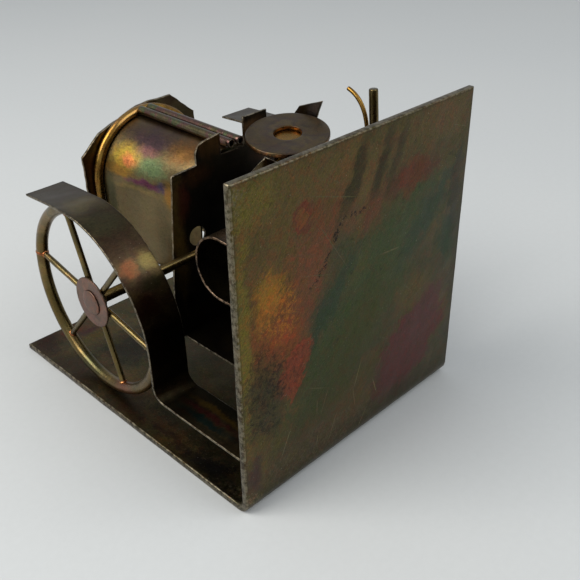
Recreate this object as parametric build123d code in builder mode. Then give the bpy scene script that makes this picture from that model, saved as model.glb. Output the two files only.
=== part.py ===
from build123d import *
import os
from math import cos, radians, sin, tan

# Sheet-metal veteran car, front half, on an L-bent bookend stand. All sizes in millimetres.
# The car faces -Y, +X is the car's left side and +Z is up.
# The origin is the middle of the stand's underside.

# Stand: one strip of plate bent up at the back.
stand_width = 101.6
stand_depth = 127.8
stand_height = 109.6
plate_thickness = 2.3
bend_outer_radius = 4.4

# Thin sheet used for the car's body.
sheet = 0.8

# Wheels.
wheel_track = 86.4
wheel_radius = 36.0
rim_rod_radius = 2.2
wheel_gap_to_base = 0.2
spoke_radius = 1.1
spoke_count = 6
first_spoke_angle = 168.0
axle_radius = 2.0
axle_y = -19.3
running_gap = 0.03
bush_radius = 3.5
bush_inner_reach = 2.2
hub_disc_radius = 9.3
hub_disc_thickness = 0.8
cap_radius = 4.7
cap_thickness = 0.7
cap_gap = 0.1

# Fender and running board, one strip per side.
fender_width = 14.3
fender_center_y = -18.6
fender_center_z = 36.0
fender_radius = 39.8
fender_front_angle = 92.5
fender_tip_y = -40.6
right_fender_lift = 4.0
board_top_z = 22.2
board_bend_radius = 4.5
board_bend_start_y = 25.7

# Hood, the arch rod that carries its front edge, and the two tubes along its top.
hood_front_radius = 21.2
hood_rear_radius = 15.1
hood_top_z = 90.0
hood_bottom_z = 43.6
hood_front_y = -39.6
hood_rear_y = 6.0
arch_radius = 22.1
arch_center_z = 68.8
arch_rod_radius = 1.7
arch_bottom_z = 46.0
tube_outer_radius = 1.5
tube_inner_radius = 0.95
tube_offset = 1.95
tube_z = 91.48
tube_rear_y = 9.0

# Radiator plate and the rails under the hood.
radiator_thickness = 1.0
rail_radius = 1.5
rail_offset = 14.0

# Firewall, floor and seat.
firewall_hole_radius = 3.3
floor_half_width = 26.0
floor_top_z = 28.0
seat_half_width = 26.0
seat_center_y = 27.4
seat_center_z = 61.7
seat_roll_radius = 11.2
cross_rod_radius = 1.5
cross_rod_half_length = 40.0
cross_rod_y = 10.8
cross_rod_z = 59.3

# Steering wheel, a thick washer with its top leaning a little to the car's left and rear.
wheel_center = Vector(-10.0, 22.65, 95.4)
wheel_normal = Vector(0.12, 0.08, 1.0).normalized()
washer_radius = 13.6
washer_hole_radius = 4.6
washer_thickness = 1.5
column_foot = Vector(-13.0, 6.0, 66.0)
column_radius = 1.6
column_flange_radius = 6.5

# Levers on the car's right, standing on the running board.
lever_x = -38.5
brake_radius = 1.55
gear_radius = 0.75

half_width = stand_width / 2
back_y = stand_depth / 2
front_y = -stand_depth / 2
inner_y = back_y - plate_thickness
axle_z = plate_thickness + wheel_gap_to_base + wheel_radius
rim_radius = wheel_radius - rim_rod_radius
wheel_x = wheel_track / 2
firewall_rear_y = hood_rear_y + sheet
radiator_rear_y = hood_front_y - 2 * arch_rod_radius
sides = {"left": 1, "right": -1}

os.makedirs("parts", exist_ok=True)


def save(part, name):
    part.label = name
    export_step(part, "parts/" + name + ".step")


# Stand: base and upright of one plate, drawn from the side and pulled across the full width.
bend_center = (back_y - bend_outer_radius, bend_outer_radius)
bend_inner_radius = bend_outer_radius - plate_thickness
with BuildPart() as stand:
    with BuildSketch(Plane.YZ):
        with BuildLine():
            Line((front_y, 0), (bend_center[0], 0))
            CenterArc(bend_center, bend_outer_radius, -90, 90)
            Line((back_y, bend_center[1]), (back_y, stand_height))
            Line((back_y, stand_height), (inner_y, stand_height))
            Line((inner_y, stand_height), (inner_y, bend_center[1]))
            CenterArc(bend_center, bend_inner_radius, 0, -90)
            Line((bend_center[0], plate_thickness), (front_y, plate_thickness))
            Line((front_y, plate_thickness), (front_y, 0))
        make_face()
    extrude(amount=half_width, both=True)
save(stand.part, "stand")

# Axle: a straight rod with a flat head at each end that keeps the wheel on.
cap_inner_x = wheel_x + spoke_radius + hub_disc_thickness + cap_gap
with BuildPart() as axle:
    with BuildSketch(Plane.YZ):
        with Locations((axle_y, axle_z)):
            Circle(axle_radius)
    extrude(amount=cap_inner_x, both=True)
save(axle.part, "axle")


def fender_point(radius, angle, center_z):
    y = fender_center_y + radius * cos(radians(angle))
    z = center_z + radius * sin(radians(angle))
    return (y, z)


for side, sign in sides.items():
    # Fender and running board: a strip that starts at a square tip, runs over the wheel in one arc,
    # drops behind it and turns level with a small bend to reach the upright. The right arc stands higher.
    strip_plane = Plane.YZ.offset(half_width - fender_width if sign > 0 else -half_width)
    arc_center_z = fender_center_z if sign > 0 else fender_center_z + right_fender_lift
    inner_arc_radius = fender_radius - sheet
    outer_start = fender_point(fender_radius, fender_front_angle, arc_center_z)
    inner_start = fender_point(inner_arc_radius, fender_front_angle, arc_center_z)
    front_slope = tan(radians(fender_front_angle - 90))
    outer_tip = (fender_tip_y, outer_start[1] - (outer_start[0] - fender_tip_y) * front_slope)
    inner_tip = (fender_tip_y, inner_start[1] - (inner_start[0] - fender_tip_y) * front_slope)
    outer_drop_y = fender_center_y + fender_radius
    inner_drop_y = outer_drop_y - sheet
    board_bend_z = board_top_z + board_bend_radius
    board_bend = (board_bend_start_y, board_bend_z)
    with BuildPart() as fender:
        with BuildSketch(strip_plane):
            with BuildLine():
                Line(outer_tip, outer_start)
                CenterArc((fender_center_y, arc_center_z), fender_radius,
                          fender_front_angle, -fender_front_angle)
                Line((outer_drop_y, arc_center_z), (outer_drop_y, board_bend_z))
                CenterArc(board_bend, board_bend_radius, 180, 90)
                Line((board_bend_start_y, board_top_z), (inner_y, board_top_z))
                Line((inner_y, board_top_z), (inner_y, board_top_z - sheet))
                Line((inner_y, board_top_z - sheet), (board_bend_start_y, board_top_z - sheet))
                CenterArc(board_bend, board_bend_radius + sheet, 270, -90)
                Line((inner_drop_y, board_bend_z), (inner_drop_y, arc_center_z))
                CenterArc((fender_center_y, arc_center_z), inner_arc_radius, 0, fender_front_angle)
                Line(inner_start, inner_tip)
                Line(inner_tip, outer_tip)
            make_face()
        extrude(amount=fender_width)
    save(fender.part, side + "_fender")

    # Wheel rim: a rod bent into a ring.
    hub_plane = Plane(origin=(sign * wheel_x, axle_y, axle_z), x_dir=(0, 1, 0), z_dir=(1, 0, 0))
    ring_plane = Plane(origin=(sign * wheel_x, axle_y, axle_z), x_dir=(1, 0, 0), z_dir=(0, -1, 0))
    hub_axis = Axis((sign * wheel_x, axle_y, axle_z), (1, 0, 0))
    with BuildPart() as rim:
        with BuildSketch(ring_plane):
            with Locations((0, rim_radius)):
                Circle(rim_rod_radius)
        revolve(axis=hub_axis)
    save(rim.part, side + "_wheel_rim")

    # Hub bush: a short tube that turns on the axle.
    bore_radius = axle_radius + running_gap
    with BuildPart() as bush:
        with BuildSketch(hub_plane.offset(-bush_inner_reach if sign > 0 else -spoke_radius)):
            Circle(bush_radius)
            Circle(bore_radius, mode=Mode.SUBTRACT)
        extrude(amount=bush_inner_reach + spoke_radius)
    save(bush.part, side + "_hub_bush")

    # Spokes: straight rods, coped where they meet the ring and the bush.
    with BuildPart() as spokes:
        for number in range(spoke_count):
            angle = radians(first_spoke_angle + number * 360 / spoke_count)
            direction = Vector(0, cos(angle), sin(angle))
            spoke_plane = Plane(origin=hub_plane.origin, x_dir=(1, 0, 0), z_dir=direction)
            with BuildSketch(spoke_plane.offset(bush_radius - 0.5)):
                Circle(spoke_radius)
            extrude(amount=rim_radius - bush_radius - 0.5)
        add(rim.part, mode=Mode.SUBTRACT)
        with BuildSketch(hub_plane.offset(-2 * spoke_radius)):
            Circle(bush_radius)
        extrude(amount=4 * spoke_radius, mode=Mode.SUBTRACT)
    save(spokes.part, side + "_wheel_spokes")

    # Hub disc: a thin washer soldered over the outer side of the spokes.
    disc_inner_x = spoke_radius if sign > 0 else -spoke_radius - hub_disc_thickness
    with BuildPart() as hub_disc:
        with BuildSketch(hub_plane.offset(disc_inner_x)):
            Circle(hub_disc_radius)
            Circle(bore_radius, mode=Mode.SUBTRACT)
        extrude(amount=hub_disc_thickness)
    save(hub_disc.part, side + "_hub_disc")

    # Axle cap: the small head on the end of the axle.
    cap_start = cap_inner_x if sign > 0 else -cap_inner_x - cap_thickness
    with BuildPart() as cap:
        with BuildSketch(Plane.YZ.offset(cap_start)):
            with Locations((axle_y, axle_z)):
                Circle(cap_radius)
        extrude(amount=cap_thickness)
    save(cap.part, side + "_axle_cap")

    # Chassis rail: a rod lying on the axle from the radiator plate to the firewall.
    with BuildPart() as rail:
        with BuildSketch(Plane.XZ.offset(-hood_rear_y)):
            with Locations((sign * rail_offset, axle_z + axle_radius + rail_radius)):
                Circle(rail_radius)
        extrude(amount=hood_rear_y - radiator_rear_y)
    save(rail.part, side + "_chassis_rail")

    # Hinge tube: one of the pair of open tubes along the top of the hood.
    with BuildPart() as tube:
        with BuildSketch(Plane.XZ.offset(-tube_rear_y)):
            with Locations((sign * tube_offset, tube_z)):
                Circle(tube_outer_radius)
                Circle(tube_inner_radius, mode=Mode.SUBTRACT)
        extrude(amount=tube_rear_y - hood_front_y)
    save(tube.part, side + "_hinge_tube")

# Radiator: a flat plate with sloping shoulders, standing a little out of level.
with BuildPart() as radiator:
    with BuildSketch(Plane.XZ.offset(-radiator_rear_y)):
        with BuildLine():
            Line((-20, 40), (20, 40))
            Line((20, 40), (25.6, 50))
            Line((25.6, 50), (26.4, 79.4))
            Line((26.4, 79.4), (18.6, 86.2))
            Line((18.6, 86.2), (6.0, 90.6))
            RadiusArc((6.0, 90.6), (-4.0, 92.4), 26)
            Line((-4.0, 92.4), (-14.2, 92.4))
            Line((-14.2, 92.4), (-24.6, 83.6))
            Line((-24.6, 83.6), (-25.2, 50))
            Line((-25.2, 50), (-20, 40))
        make_face()
    extrude(amount=radiator_thickness)
save(radiator.part, "radiator")

# Hood arch: a rod bent over the front edge of the hood.
with BuildPart() as hood_arch:
    with BuildLine():
        Line((arch_radius, hood_front_y - arch_rod_radius, arch_bottom_z),
             (arch_radius, hood_front_y - arch_rod_radius, arch_center_z))
        ThreePointArc((arch_radius, hood_front_y - arch_rod_radius, arch_center_z),
                      (0, hood_front_y - arch_rod_radius, arch_center_z + arch_radius),
                      (-arch_radius, hood_front_y - arch_rod_radius, arch_center_z))
        Line((-arch_radius, hood_front_y - arch_rod_radius, arch_center_z),
             (-arch_radius, hood_front_y - arch_rod_radius, arch_bottom_z))
    with BuildSketch(Plane.XY.offset(arch_bottom_z)):
        with Locations((arch_radius, hood_front_y - arch_rod_radius)):
            Circle(arch_rod_radius)
    sweep()
save(hood_arch.part, "hood_arch")

# Hood: a sheet bent to a half circle over two straight sides, open underneath and narrower at the rear.
with BuildPart() as hood:
    for inset, mode in ((0, Mode.ADD), (sheet, Mode.SUBTRACT)):
        for y, outer_radius in ((hood_front_y, hood_front_radius), (hood_rear_y, hood_rear_radius)):
            radius = outer_radius - inset
            center_z = hood_top_z - outer_radius
            foot_z = hood_bottom_z - inset
            with BuildSketch(Plane.XZ.offset(-y)):
                with BuildLine():
                    Line((radius, foot_z), (radius, center_z))
                    CenterArc((0, center_z), radius, 0, 180)
                    Line((-radius, center_z), (-radius, foot_z))
                    Line((-radius, foot_z), (radius, foot_z))
                make_face()
        loft(mode=mode)
save(hood.part, "hood")

# Firewall: a plate with sloping sides and two upright ears; the hood tubes lie in the notch between the ears.
with BuildPart() as firewall:
    with BuildSketch(Plane.XZ.offset(-firewall_rear_y)):
        with BuildLine():
            Line((-30, floor_top_z - sheet), (30, floor_top_z - sheet))
            Line((30, floor_top_z - sheet), (25.2, 86.6))
            Line((25.2, 86.6), (15.2, 87.4))
            Line((15.2, 87.4), (15.2, 91.4))
            RadiusArc((15.2, 91.4), (11.8, 94.4), 3.4, short_sagitta=True)
            Line((11.8, 94.4), (4.8, 95.4))
            Line((4.8, 95.4), (4.8, 88.2))
            Line((4.8, 88.2), (-5.4, 88.2))
            Line((-5.4, 88.2), (-5.4, 98.0))
            Line((-5.4, 98.0), (-16.0, 98.0))
            Line((-16.0, 98.0), (-16.0, 87.4))
            Line((-16.0, 87.4), (-25.2, 86.6))
            Line((-25.2, 86.6), (-30, floor_top_z - sheet))
        make_face()
        with Locations((16.9, 63.0)):
            Circle(firewall_hole_radius, mode=Mode.SUBTRACT)
    extrude(amount=sheet)
save(firewall.part, "firewall")

# Cowl wing: a leaning tab that stands on the firewall's right shoulder.
with BuildPart() as cowl_wing:
    with BuildSketch(Plane.YZ.offset(-25.2)):
        with BuildLine():
            Polyline((firewall_rear_y, 80), (firewall_rear_y, 85.6), (11.6, 95.9), (13.7, 98.5),
                     (24.1, 102.5), (21.7, 96.5), (17, 87), (12, 80), close=True)
        make_face()
    extrude(amount=sheet)
save(cowl_wing.part, "cowl_wing")

# Floor: a flat board between the firewall and the upright.
with BuildPart() as floor:
    with BuildSketch(Plane.XY.offset(floor_top_z - sheet)):
        with Locations((0, (firewall_rear_y + inner_y) / 2)):
            Rectangle(2 * floor_half_width, inner_y - firewall_rear_y)
    extrude(amount=sheet)
save(floor.part, "floor")

# Cross rod: ties the two fenders together behind the firewall.
with BuildPart() as cross_rod:
    with BuildSketch(Plane.YZ):
        with Locations((cross_rod_y, cross_rod_z)):
            Circle(cross_rod_radius)
    extrude(amount=cross_rod_half_length, both=True)
save(cross_rod.part, "cross_rod")

# Seat cushion: a sheet that leaves the upright, rolls over at the front and comes part of the way back.
seat_center = (seat_center_y, seat_center_z)
roll_inner_radius = seat_roll_radius - sheet
seat_bottom_z = seat_center_z - seat_roll_radius
seat_top_z = seat_center_z + seat_roll_radius
with BuildPart() as seat_cushion:
    with BuildSketch(Plane.YZ):
        with BuildLine():
            Line((inner_y, seat_bottom_z), (seat_center_y, seat_bottom_z))
            CenterArc(seat_center, seat_roll_radius, 270, -180)
            Line((seat_center_y, seat_top_z), (54, 70.9))
            Line((54, 70.9), (54, 70.1))
            Line((54, 70.1), (seat_center_y, seat_top_z - sheet))
            CenterArc(seat_center, roll_inner_radius, 90, 180)
            Line((seat_center_y, seat_bottom_z + sheet), (inner_y, seat_bottom_z + sheet))
            Line((inner_y, seat_bottom_z + sheet), (inner_y, seat_bottom_z))
        make_face()
    extrude(amount=seat_half_width, both=True)
save(seat_cushion.part, "seat_cushion")

# Seat back: a folded sheet with a peaked corner over its fold, held to the upright by a narrow tab.
fold = Vector(22.2, 45.9, 0)
with BuildPart() as seat_back:
    wing_plane = Plane(origin=fold, x_dir=(0.35, -0.94, 0), z_dir=(-0.94, -0.35, 0))
    with BuildSketch(wing_plane):
        with BuildLine():
            Polyline((-0.3, 73.6), (11, 73.6), (11, 84), (5.4, 97.0), (0.3, 103.4), (-0.3, 103.4), close=True)
        make_face()
    extrude(amount=sheet / 2, both=True)
    panel_plane = Plane(origin=fold, x_dir=(-1, 0.12, 0), z_dir=(0.12, 1, 0))
    with BuildSketch(panel_plane):
        with BuildLine():
            Polyline((-0.3, 73.6), (17, 73.6), (17, 90), (9, 97.5), (0.3, 103.4), (-0.3, 103.4), close=True)
        make_face()
    extrude(amount=sheet / 2, both=True)
    tab_plane = Plane(origin=fold, x_dir=(0.224, 0.975, 0), z_dir=(0.975, -0.224, 0))
    with BuildSketch(tab_plane):
        with BuildLine():
            Polyline((0, 86), (18, 88), (18, 94), (0, 96), close=True)
        make_face()
    extrude(amount=sheet / 2, both=True)
    with BuildSketch(Plane.XZ.offset(-inner_y)):
        with Locations((fold.X, 90)):
            Rectangle(40, 60)
    extrude(amount=-10, mode=Mode.SUBTRACT)
save(seat_back.part, "seat_back")

# Steering wheel: a thick washer.
washer_plane = Plane(origin=wheel_center, z_dir=wheel_normal)
with BuildPart() as steering_wheel:
    with BuildSketch(washer_plane):
        Circle(washer_radius)
        Circle(washer_hole_radius, mode=Mode.SUBTRACT)
    extrude(amount=-washer_thickness)
save(steering_wheel.part, "steering_wheel")

# Steering column: a slanting rod with a round head that closes the washer's hole from below.
column_top = wheel_center - wheel_normal * (washer_thickness + sheet)
column_direction = (column_foot - column_top).normalized()
column_length = (column_foot - column_top).length
with BuildPart() as steering_column:
    with BuildSketch(washer_plane.offset(-washer_thickness)):
        Circle(column_flange_radius)
    extrude(amount=-sheet)
    with BuildSketch(Plane(origin=column_top + wheel_normal * 0.3, z_dir=column_direction)):
        Circle(column_radius)
    extrude(amount=column_length + 4)
    with BuildSketch(Plane.XZ.offset(-firewall_rear_y)):
        with Locations((column_foot.X, column_foot.Z)):
            Rectangle(20, 30)
    extrude(amount=20, mode=Mode.SUBTRACT)
save(steering_column.part, "steering_column")

# Brake lever: a thick straight rod leaning slightly forward.
brake_foot = Vector(lever_x, 39.7, board_top_z)
brake_top = Vector(lever_x, 33.8, 105.4)
brake_direction = (brake_top - brake_foot).normalized()
with BuildPart() as brake_lever:
    with BuildSketch(Plane(origin=brake_foot - brake_direction * 2, z_dir=brake_direction)):
        Circle(brake_radius)
    extrude(amount=(brake_top - brake_foot).length + 2)
    with BuildSketch(Plane.XY.offset(board_top_z)):
        with Locations((lever_x, 39.7)):
            Rectangle(10, 10)
    extrude(amount=-6, mode=Mode.SUBTRACT)
save(brake_lever.part, "brake_lever")

# Gear lever: a thin wire with its top curled forward.
with BuildPart() as gear_lever:
    with BuildLine() as gear_path:
        gear_stem = Line((lever_x, 34.4, board_top_z - 2), (lever_x, 31.8, 90.0))
        Spline((lever_x, 31.8, 90.0), (lever_x, 30.4, 95.0), (lever_x, 27.8, 100.1), (lever_x, 22.9, 103.2),
               tangents=(gear_stem % 1, (0, -1, 0.5)))
    with BuildSketch(Plane(origin=gear_path.line @ 0, z_dir=gear_path.line % 0)):
        Circle(gear_radius)
    sweep(path=gear_path.line)
    with BuildSketch(Plane.XY.offset(board_top_z)):
        with Locations((lever_x, 34.4)):
            Rectangle(10, 10)
    extrude(amount=-6, mode=Mode.SUBTRACT)
save(gear_lever.part, "gear_lever")
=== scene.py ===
import bpy
import math
import numpy as np
from mathutils import Matrix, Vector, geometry


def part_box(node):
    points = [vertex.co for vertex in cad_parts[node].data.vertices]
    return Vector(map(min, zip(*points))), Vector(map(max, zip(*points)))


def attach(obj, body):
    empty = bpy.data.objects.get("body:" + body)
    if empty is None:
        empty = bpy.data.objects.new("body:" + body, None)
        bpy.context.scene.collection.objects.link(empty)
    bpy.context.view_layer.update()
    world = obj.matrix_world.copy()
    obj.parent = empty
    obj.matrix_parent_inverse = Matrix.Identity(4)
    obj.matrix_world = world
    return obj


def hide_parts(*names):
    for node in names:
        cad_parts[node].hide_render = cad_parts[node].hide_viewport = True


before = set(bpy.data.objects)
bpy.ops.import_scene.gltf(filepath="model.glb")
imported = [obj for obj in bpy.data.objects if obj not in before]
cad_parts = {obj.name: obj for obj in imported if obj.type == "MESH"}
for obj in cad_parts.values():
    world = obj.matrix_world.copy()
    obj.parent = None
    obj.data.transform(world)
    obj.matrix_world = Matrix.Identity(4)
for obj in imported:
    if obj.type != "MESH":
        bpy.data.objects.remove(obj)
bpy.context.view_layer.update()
print("frame loaded with", len(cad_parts), "nodes")

mm = 0.001
sides = {"left": 1, "right": -1}


def boxOf(node):
    lowest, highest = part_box(node)
    return np.array(lowest) / mm, np.array(highest) / mm


def unit(vectors):
    vectors = np.asarray(vectors, float)
    return vectors / np.maximum(np.linalg.norm(vectors, axis=-1, keepdims=True), 1e-12)


def ripple(points, wave, height, seed):
    # smooth unevenness: seven sine waves with seeded directions, lengths and phases, added and averaged
    dice = np.random.default_rng(seed)
    turns = unit(dice.normal(size=(7, 3))) / (wave * dice.uniform(0.6, 1.7, (7, 1)))
    phases = dice.uniform(0, 2 * math.pi, 7)
    return height * np.sin(2 * math.pi * np.asarray(points) @ turns.T + phases).mean(-1) * 1.6


def spread(length, cell, close=(0.3, 0.8)):
    # stations from 0 to length about one cell apart, with closer ones next to both ends
    inner = np.linspace(close[-1] + cell / 2, length - close[-1] - cell / 2, max(2, int(length / cell)))
    near = np.array((0.0,) + close)
    return np.concatenate([near, inner, (length - near)[::-1]])


def bentLine(pieces, stations=None, cell=1.0):
    # straight runs and arcs in a plane, joined and read again at stations measured along the line
    points = []
    for piece in pieces:
        if piece[0] == "line":
            points.append(np.linspace(piece[1], piece[2], 60))
        else:
            centre, radius, start, stop = piece[1:]
            angles = np.radians(np.linspace(start, stop, 90))
            points.append(np.stack([centre[0] + radius * np.cos(angles),
                                    centre[1] + radius * np.sin(angles)], -1))
    points = np.concatenate(points)
    steps = np.linalg.norm(np.diff(points, axis=0), axis=1)
    along = np.concatenate([[0], np.cumsum(steps)])
    if stations is None:
        stations = spread(along[-1], cell)
    return np.stack([np.interp(stations, along, points[:, k]) for k in (0, 1)], -1)


def gridFaces(rows, columns, closeRows=False, closeColumns=False):
    # four-sided faces between neighbouring stations of a grid, turned so that rows x columns points outwards
    i = np.arange(rows if closeRows else rows - 1)[:, None]
    j = np.arange(columns if closeColumns else columns - 1)[None, :]
    i2, j2 = (i + 1) % rows, (j + 1) % columns
    corners = [i * columns + j, i2 * columns + j, i2 * columns + j2, i * columns + j2]
    return np.stack([np.broadcast_to(c, (len(i), j.shape[1])).ravel() for c in corners], -1)


def tube(path, radius, across, ring=28, closed=False):
    # a circle carried along a path: path point + radius x (cos t x across + sin t x side), with flat ends
    path = np.asarray(path, float)
    radius = np.broadcast_to(radius, len(path)).astype(float)
    if closed:
        heading = unit(np.roll(path, -1, 0) - np.roll(path, 1, 0))
    else:
        heading = unit(np.gradient(path, axis=0))
    across = unit(across) - heading * (heading @ unit(across))[:, None]
    across = unit(across)
    side = np.cross(heading, across)
    turn = np.linspace(0, 2 * math.pi, ring, endpoint=False)
    around = across[:, None] * np.cos(turn)[None, :, None] + side[:, None] * np.sin(turn)[None, :, None]
    points = (path[:, None] + around * radius[:, None, None]).reshape(-1, 3)
    quads = gridFaces(len(path), ring, closed, True)
    shells = [quads]
    if not closed:
        points = np.concatenate([points, path[[0, -1]]])
        k = np.arange(ring)
        middle = len(path) * ring
        last = middle - ring
        shells.append(np.stack([np.full(ring, middle), k, (k + 1) % ring], -1))
        shells.append(np.stack([np.full(ring, middle + 1), last + (k + 1) % ring, last + k], -1))
    return points, shells


def rod(start, stop, radius, across=(1, 0, 0), edge=0.35, cell=1.0, seed=1, ring=28, bend=None):
    # a straight or bent round bar: its radius falls on a quarter circle at both ends, as on a filed end
    if bend is None:
        start, stop = np.array(start, float), np.array(stop, float)
        length = np.linalg.norm(stop - start)
        bend = start + (stop - start) * np.linspace(0, 1, 50)[:, None]
    steps = np.concatenate([[0], np.cumsum(np.linalg.norm(np.diff(bend, axis=0), axis=1))])
    length = steps[-1]
    corner = edge * (1 - np.cos(np.linspace(0, math.pi / 2, 5)))
    stations = np.concatenate([corner, np.linspace(edge, length - edge, max(3, int(length / cell)))[1:-1],
                               (length - corner)[::-1]])
    path = np.stack([np.interp(stations, steps, bend[:, k]) for k in range(3)], -1)
    fromEnd = np.minimum(stations, length - stations)
    inset = edge - np.sqrt(np.maximum(edge ** 2 - (edge - np.minimum(fromEnd, edge)) ** 2, 0))
    size = radius - inset + ripple(path, 6, 0.03, seed) * (fromEnd > edge)
    points, shells = tube(path, size, across, ring)
    wear = np.exp(-np.repeat(fromEnd, ring) / 0.6)
    return points, shells, np.concatenate([wear, [0.4, 0.4]])


def turned(profile, centre, axis, ring=64, closedProfile=False, uneven=0.0, seed=3):
    # a profile of (radius, height) turned round an axis; a radius of zero closes it with a fan
    profile = np.asarray(profile, float)
    axis = unit(axis)
    first = unit(np.cross(axis, (0.3, 0.5, 0.8)))
    second = np.cross(axis, first)
    turn = np.linspace(0, 2 * math.pi, ring, endpoint=False)
    around = first[None] * np.cos(turn)[:, None] + second[None] * np.sin(turn)[:, None]
    open0, open1 = profile[0, 0] == 0, profile[-1, 0] == 0
    body = profile[int(open0):len(profile) - int(open1)]
    points = (np.asarray(centre, float) + body[:, None, :1] * around[None] + body[:, None, 1:] * axis)
    points = points.reshape(-1, 3)
    if uneven:
        points = points + axis * ripple(points, 9, uneven, seed)[:, None]
    shells = [gridFaces(len(body), ring, closedProfile, True)]
    k = np.arange(ring)
    for isOpen, row, height in ((open0, 0, profile[0, 1]), (open1, len(body) - 1, profile[-1, 1])):
        if isOpen:
            pole = len(points)
            points = np.concatenate([points, [np.asarray(centre, float) + axis * height]])
            near = row * ring + k
            far = row * ring + (k + 1) % ring
            shells.append(np.stack([np.full(ring, pole), near, far] if row == 0
                                   else [np.full(ring, pole), far, near], -1))
    return points, shells, np.zeros(len(points))


def lump(centre, size, seed, rows=14, ring=20, uneven=0.12, along=(0, 0, 1)):
    # a drop of braze: an egg whose radius swells and sinks with the ripple
    polar = np.linspace(0, math.pi, rows)[1:-1]
    turn = np.linspace(0, 2 * math.pi, ring, endpoint=False)
    along = unit(along)
    first = unit(np.cross(along, (0.31, 0.52, 0.79)))
    second = np.cross(along, first)
    way = (np.sin(polar)[:, None, None]
           * (np.cos(turn)[None, :, None] * first + np.sin(turn)[None, :, None] * second)
           + np.cos(polar)[:, None, None] * along).reshape(-1, 3)
    way = np.concatenate([way, [along, -along]])
    radii = np.asarray(size, float)
    local = np.stack([way @ first, way @ second, way @ along], -1) * radii
    swell = 1 + ripple(way * 3 + seed, 2.2, uneven, seed)
    offset = local[:, :1] * first + local[:, 1:2] * second + local[:, 2:] * along
    points = np.asarray(centre, float) + offset * swell[:, None]
    count = rows - 2
    k = np.arange(ring)
    top, bottom = count * ring, count * ring + 1
    shells = [gridFaces(count, ring, False, True),
              np.stack([np.full(ring, top), k, (k + 1) % ring], -1),
              np.stack([np.full(ring, bottom), (count - 1) * ring + (k + 1) % ring, (count - 1) * ring + k],
                       -1)]
    return points, shells, np.full(len(points), 0.3)


def shell(middle, normals, faces, loops, outs, thick, edge, wear):
    # a sheet with two faces and a rounded rim: the rim is a quarter circle, a flat and a quarter circle
    # carried round every boundary, starting from points already set in by the radius of that circle
    count = len(middle)
    half = thick / 2
    points = [middle + normals * half, middle - normals * half]
    shades = [wear, wear]
    shells = list(faces) + [f[:, ::-1] + count for f in faces]
    quarter = np.radians([30, 60, 90])
    profile = [(edge * math.sin(a), half - edge + edge * math.cos(a)) for a in quarter]
    profile += [(o, -h) for o, h in profile[::-1]]
    start = 2 * count
    for loop, out in zip(loops, outs):
        size = len(loop)
        rings = [loop]
        for away, height in profile:
            points.append(middle[loop] + out * away + normals[loop] * height)
            shades.append(np.ones(size))
            rings.append(np.arange(start, start + size))
            start += size
        rings.append(loop + count)
        for upper, lower in zip(rings[:-1], rings[1:]):
            shells.append(np.stack([np.roll(upper, -1), upper, lower, np.roll(lower, -1)], -1))
    return np.concatenate(points), shells, np.concatenate(shades)


def sheetGrid(middle, thick, edge=0.22, fade=0.5):
    # a curved sheet from a grid of points on its middle surface, whose first and last rows are its edges
    rows, columns = middle.shape[:2]
    du, dv = np.gradient(middle, axis=0), np.gradient(middle, axis=1)
    normals = unit(np.cross(du, dv))
    du, dv = unit(du), unit(dv)
    stepU = np.concatenate([np.zeros((1, columns)),
                            np.cumsum(np.linalg.norm(np.diff(middle, axis=0), axis=2), 0)])
    stepV = np.concatenate([np.zeros((rows, 1)),
                            np.cumsum(np.linalg.norm(np.diff(middle, axis=1), axis=2), 1)], 1)
    fromEdge = np.minimum(np.minimum(stepU, stepU[-1:] - stepU), np.minimum(stepV, stepV[:, -1:] - stepV))
    out = np.zeros_like(middle)
    out[0] -= du[0]
    out[-1] += du[-1]
    out[:, 0] -= dv[:, 0]
    out[:, -1] += dv[:, -1]
    index = np.arange(rows * columns).reshape(rows, columns)
    loop = np.concatenate([index[:-1, 0], index[-1, :-1], index[:0:-1, -1], index[0, :0:-1]])
    middle, normals, out = middle.reshape(-1, 3), normals.reshape(-1, 3), out.reshape(-1, 3)
    return shell(middle, normals, [gridFaces(rows, columns)], [loop], [out[loop]], thick, edge,
                 np.exp(-fromEdge.ravel() / fade))


def outlinePoints(outline, cell, rough, seed):
    # a polygon read at even steps along its sides, each point shifted a little as by hand shears
    outline = np.asarray(outline, float)
    ends = np.concatenate([outline[1:], outline[:1]])
    points = []
    for a, b in zip(outline, ends):
        steps = max(1, int(round(np.linalg.norm(b - a) / cell)))
        points.append(a + (b - a) * np.linspace(0, 1, steps, endpoint=False)[:, None])
    points = np.concatenate(points)
    flat = np.concatenate([points, np.zeros((len(points), 1))], 1)
    shift = np.stack([ripple(flat, 5, rough, seed), ripple(flat, 5, rough, seed + 1)], -1)
    return points + shift


def insetLoop(points, distance):
    # every corner moves inwards along the middle of its two sides' normals
    before = unit(points - np.roll(points, 1, 0))
    after = unit(np.roll(points, -1, 0) - points)
    normal = unit(np.stack([-(before[:, 1] + after[:, 1]), before[:, 0] + after[:, 0]], -1))
    lean = np.maximum(np.abs((normal * np.stack([-after[:, 1], after[:, 0]], -1)).sum(-1)), 0.5)
    return points + normal * (distance / lean)[:, None], -normal / lean[:, None]


def within(points, ring):
    # whether each point lies inside a closed outline: a line going up from it crosses the outline an odd
    # number of times
    first, second = ring[None], np.roll(ring, -1, axis=0)[None]
    x, y = points[:, :1], points[:, 1:]
    crosses = (first[..., 0] > x) != (second[..., 0] > x)
    run = np.where(crosses, second[..., 0] - first[..., 0], 1.0)
    height = first[..., 1] + (x - first[..., 0]) / run * (second[..., 1] - first[..., 1])
    return (crosses & (height > y)).sum(1) % 2 == 1


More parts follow.
